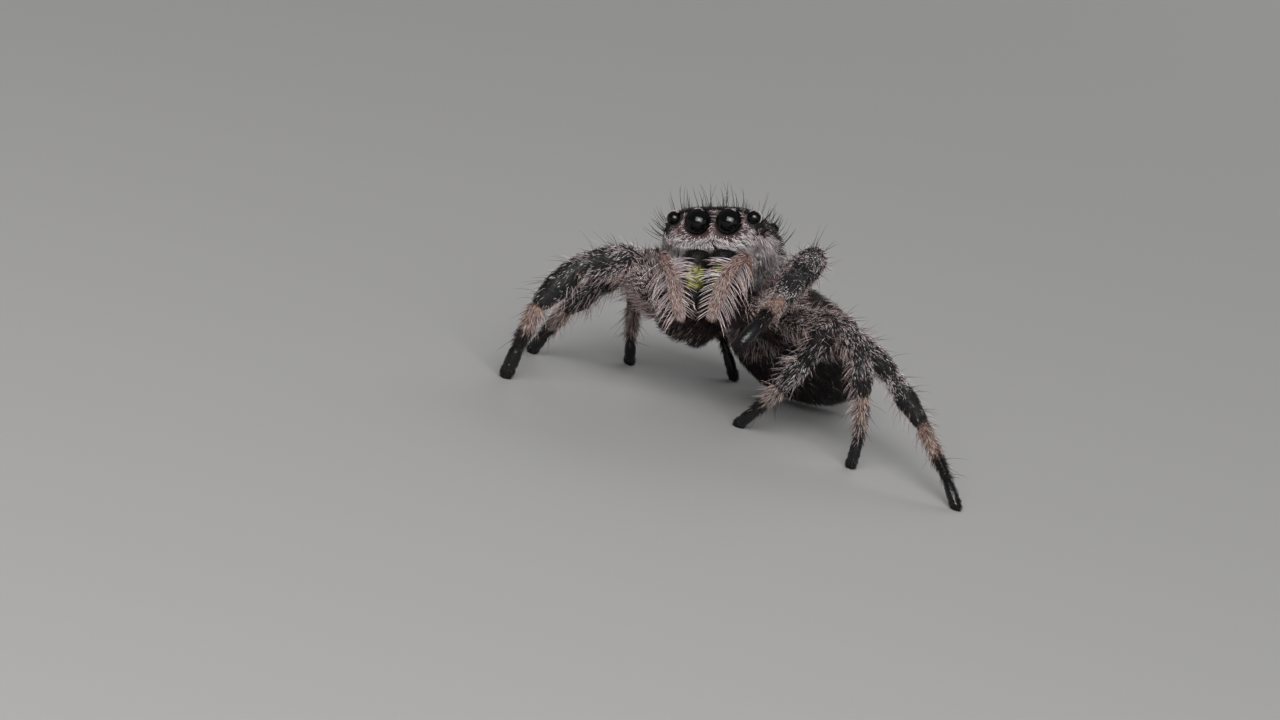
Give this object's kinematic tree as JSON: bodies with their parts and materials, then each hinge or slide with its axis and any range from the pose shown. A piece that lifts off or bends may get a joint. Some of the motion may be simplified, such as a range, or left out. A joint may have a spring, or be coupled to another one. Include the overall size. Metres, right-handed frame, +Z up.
{
  "type": "jumping spider",
  "caption": "Life-size model of a furry grey and white jumping spider, standing with one foreleg raised, great front eyes, folded palps and a dark abdomen.",
  "frame": {"origin": "middle of the bounding box, on the plane that the feet stand on", "axes": "+Z up; the spider faces -Y and turns its head towards -X; +X is its left"},
  "size_m": [0.0104, 0.0102, 0.0052],
  "materials": {
    "eye": "polished black lens",
    "face_coat": "short cream and grey hairs over dark cuticle",
    "leg_coat": "black cuticle with short white and grey hairs",
    "pale_coat": "long cream hairs",
    "dark_coat": "dense black hairs",
    "underside": "dark red-brown cuticle with thin hair",
    "chelicera": "iridescent green-black cuticle"
  },
  "bodies": {
    "root": {"abdomen": "dark_coat", "carapace": "face_coat", "chelicera_L": "chelicera", "chelicera_R": "chelicera", "eye_front_middle_L": "eye", "eye_front_middle_R": "eye", "eye_front_side_L": "eye", "eye_front_side_R": "eye", "eye_rear_middle_L": "eye", "eye_rear_middle_R": "eye", "eye_rear_side_L": "eye", "eye_rear_side_R": "eye", "leg_L1_coxa": "underside", "leg_L1_femur": "leg_coat", "leg_L1_patella": "leg_coat", "leg_L1_tarsus": "leg_coat", "leg_L1_tibia": "leg_coat", "leg_L2_coxa": "underside", "leg_L2_femur": "leg_coat", "leg_L2_patella": "leg_coat", "leg_L2_tarsus": "leg_coat", "leg_L2_tibia": "leg_coat", "leg_L3_coxa": "underside", "leg_L3_femur": "leg_coat", "leg_L3_patella": "leg_coat", "leg_L3_tarsus": "leg_coat", "leg_L3_tibia": "leg_coat", "leg_L4_coxa": "underside", "leg_L4_femur": "leg_coat", "leg_L4_patella": "leg_coat", "leg_L4_tarsus": "leg_coat", "leg_L4_tibia": "leg_coat", "leg_R1_coxa": "underside", "leg_R1_femur": "leg_coat", "leg_R1_patella": "leg_coat", "leg_R1_tarsus": "leg_coat", "leg_R1_tibia": "leg_coat", "leg_R2_coxa": "underside", "leg_R2_femur": "leg_coat", "leg_R2_patella": "leg_coat", "leg_R2_tarsus": "leg_coat", "leg_R2_tibia": "leg_coat", "leg_R3_coxa": "underside", "leg_R3_femur": "leg_coat", "leg_R3_patella": "leg_coat", "leg_R3_tarsus": "leg_coat", "leg_R3_tibia": "leg_coat", "leg_R4_coxa": "underside", "leg_R4_femur": "leg_coat", "leg_R4_patella": "leg_coat", "leg_R4_tarsus": "leg_coat", "leg_R4_tibia": "leg_coat", "mouthparts": "underside", "palp_L_base": "pale_coat", "palp_L_end": "pale_coat", "palp_R_base": "pale_coat", "palp_R_end": "pale_coat", "pedicel": "underside", "spinnerets": "dark_coat", "sternum": "underside"}
  },
  "joints": []
}
